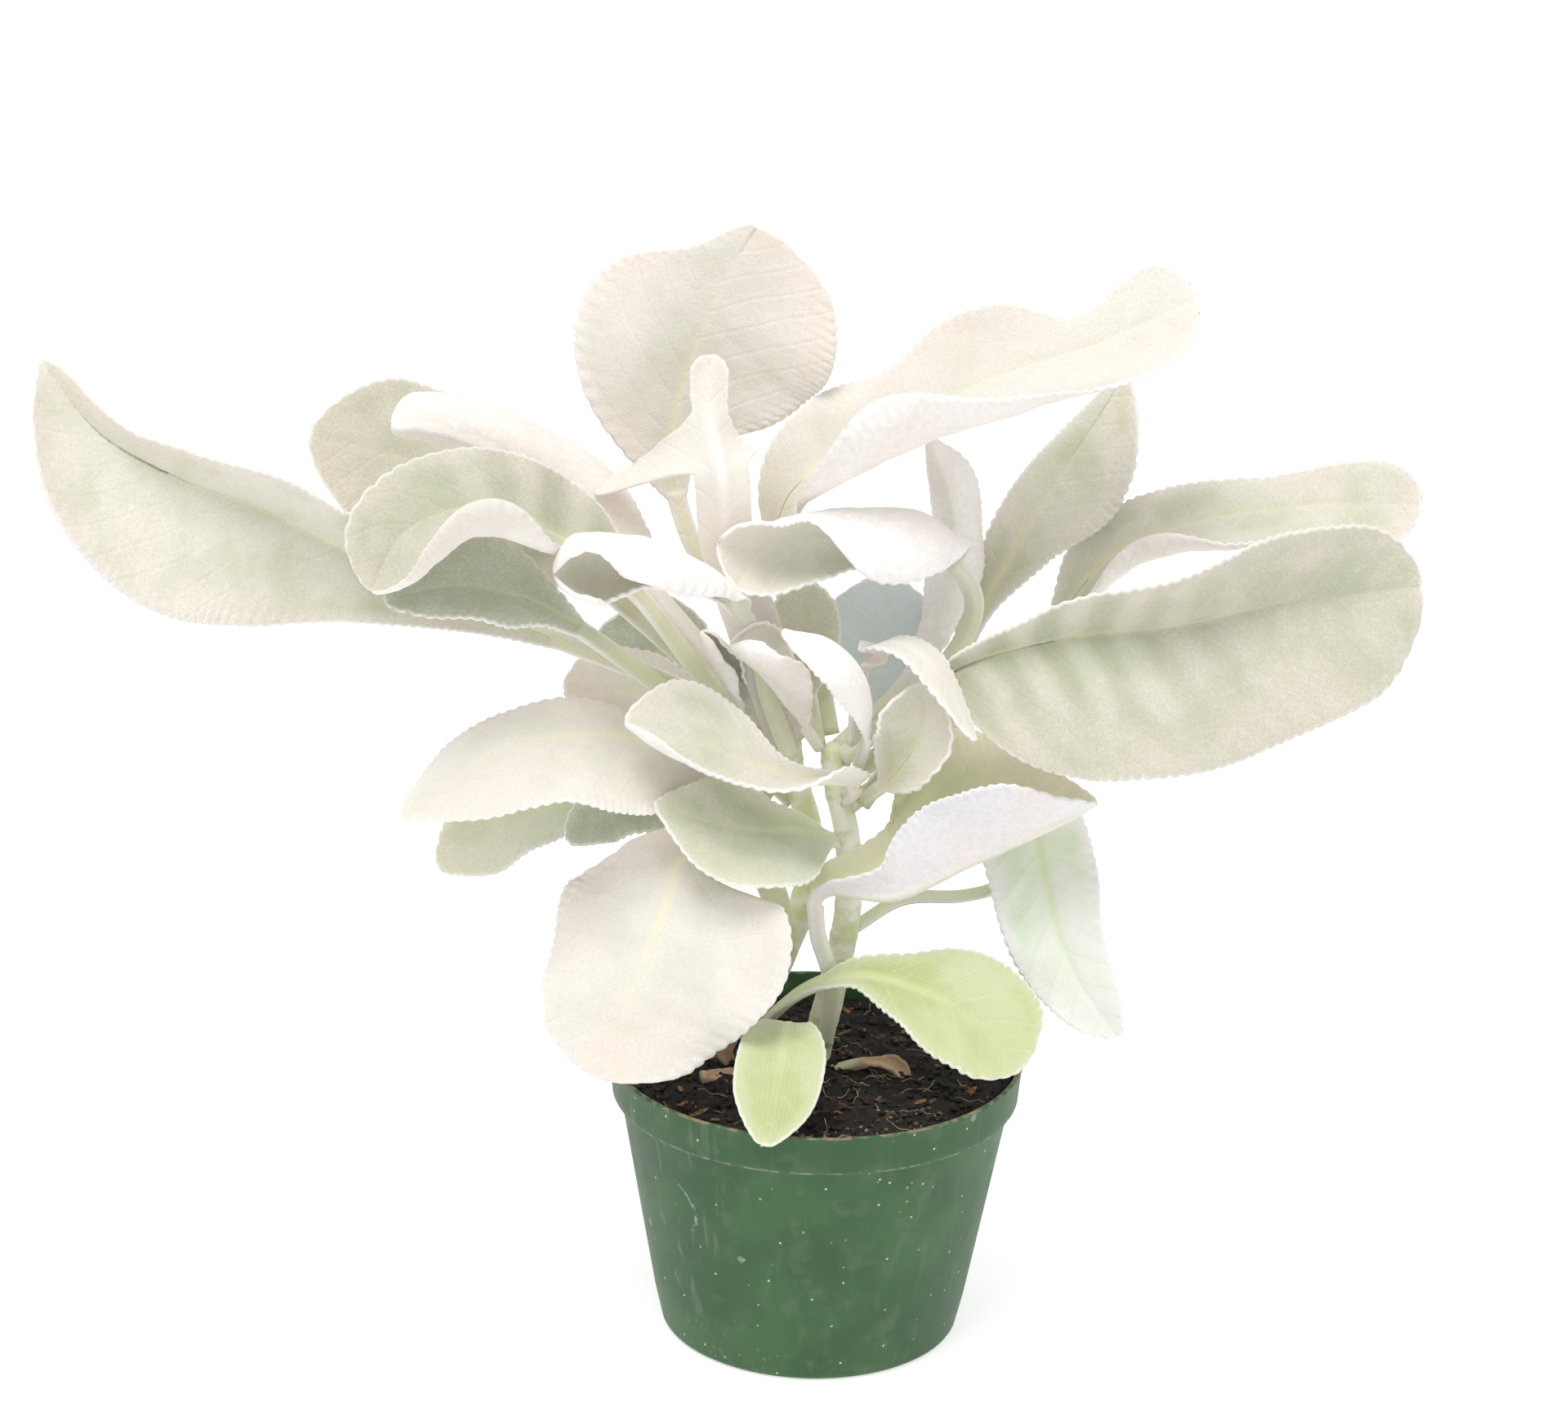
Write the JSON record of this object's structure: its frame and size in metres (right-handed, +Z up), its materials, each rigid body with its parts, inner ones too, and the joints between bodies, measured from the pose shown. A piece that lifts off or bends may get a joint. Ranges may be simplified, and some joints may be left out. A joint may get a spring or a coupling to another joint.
{
  "type": "potted angel wings senecio",
  "caption": "Bushy angel wings senecio with broad felted grey-white leaves on short stems, standing in a tapered green plastic pot filled with soil.",
  "frame": {"origin": "centre of the pot's base, on the surface it stands on", "axes": "+Z up along the pot axis; +X to the right as seen from the front, along the longest spread of the leaves; -Y is the front"},
  "size_m": [0.4888, 0.1607, 0.4091],
  "materials": {
    "pot_plastic": "thin moulded dark green plastic with a soft sheen, water marks and light scratches",
    "potting_mix": "damp near-black potting mix with bark, fibres and pale grains",
    "stem_skin": "yellow-green stem with a thin pale felt",
    "leaf_felt": "matt greenish-beige felt of fine hairs, pale yellow midrib, white margin",
    "leaf_pale": "matt near-white felt of fine hairs, mostly the underside of a rolled blade",
    "leaf_sage": "matt grey-green felt of fine hairs with a white margin",
    "leaf_shaded": "matt olive felt of fine hairs",
    "leaf_green": "older yellow-green blade with thinner felt",
    "dried_leaf": "dry brittle brown leaf",
    "dried_paper": "dry papery tan scrap",
    "wood_chip": "bare tan wood chip"
  },
  "bodies": {
    "root": {"pot": "pot_plastic", "soil": "potting_mix", "stem_right": "stem_skin", "stem_left": "stem_skin", "leaf_top_round": "leaf_felt", "leaf_top_young": "leaf_pale", "leaf_top_right": "leaf_felt", "leaf_centre_roll": "leaf_pale", "leaf_left_back": "leaf_felt", "leaf_left_finger": "leaf_pale", "leaf_far_left": "leaf_felt", "leaf_left_scalloped": "leaf_felt", "leaf_left_under": "leaf_shaded", "leaf_left_scroll": "leaf_pale", "leaf_right_narrow": "leaf_pale", "leaf_right_back": "leaf_felt", "leaf_right_wavy": "leaf_felt", "leaf_right_broad": "leaf_felt", "leaf_heart_green": "leaf_sage", "leaf_heart_small": "leaf_pale", "leaf_heart_mouth": "leaf_pale", "leaf_heart_white": "leaf_pale", "leaf_heart_arched": "leaf_pale", "leaf_heart_brown": "leaf_felt", "leaf_centre_spoon": "leaf_felt", "leaf_mid_left_back": "leaf_felt", "leaf_mid_left": "leaf_felt", "leaf_shaded_back": "leaf_shaded", "leaf_right_folded": "leaf_pale", "leaf_left_low": "leaf_sage", "leaf_left_hanging": "leaf_sage", "leaf_left_shaded": "leaf_shaded", "leaf_left_drooping": "leaf_felt", "leaf_right_drooping": "leaf_sage", "leaf_right_low": "leaf_green", "leaf_front_small": "leaf_green", "leaf_heart_back": "leaf_shaded", "litter_dried_leaf": "dried_leaf", "litter_dried_scrap": "dried_paper", "litter_wood_chip": "wood_chip"}
  },
  "joints": []
}
